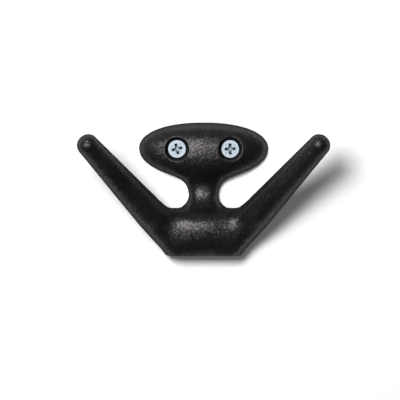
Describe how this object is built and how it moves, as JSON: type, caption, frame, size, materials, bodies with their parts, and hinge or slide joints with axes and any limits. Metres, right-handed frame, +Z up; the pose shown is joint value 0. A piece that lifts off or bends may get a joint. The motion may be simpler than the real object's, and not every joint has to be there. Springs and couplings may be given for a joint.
{
  "type": "wall hook",
  "caption": "Wall-mounted twin-horn hook for ropes or coats: an oval screw-down pad, a narrow neck and a barrel carrying two tapered horns that rise up and forward.",
  "frame": {"origin": "on the back face, which lies on the wall plane, midway between the two screws", "axes": "+X to the right seen from the front, +Y into the wall, +Z up; the front looks along -Y"},
  "size_m": [0.113, 0.0638, 0.0599],
  "materials": {
    "coated_body": "black fine-textured satin powder coating",
    "zinc_plated_steel": "bright bluish zinc plating"
  },
  "bodies": {
    "body": {"hook_body": "coated_body"},
    "left_screw": {"screw_left": "zinc_plated_steel"},
    "right_screw": {"screw_right": "zinc_plated_steel"}
  },
  "joints": [
    {"name": "left_screw_out", "type": "slide", "parent": "body", "child": "left_screw", "axis": [0, -1, 0], "range_m": [0, 0.04]},
    {"name": "right_screw_out", "type": "slide", "parent": "body", "child": "right_screw", "axis": [0, -1, 0], "range_m": [0, 0.04]}
  ]
}
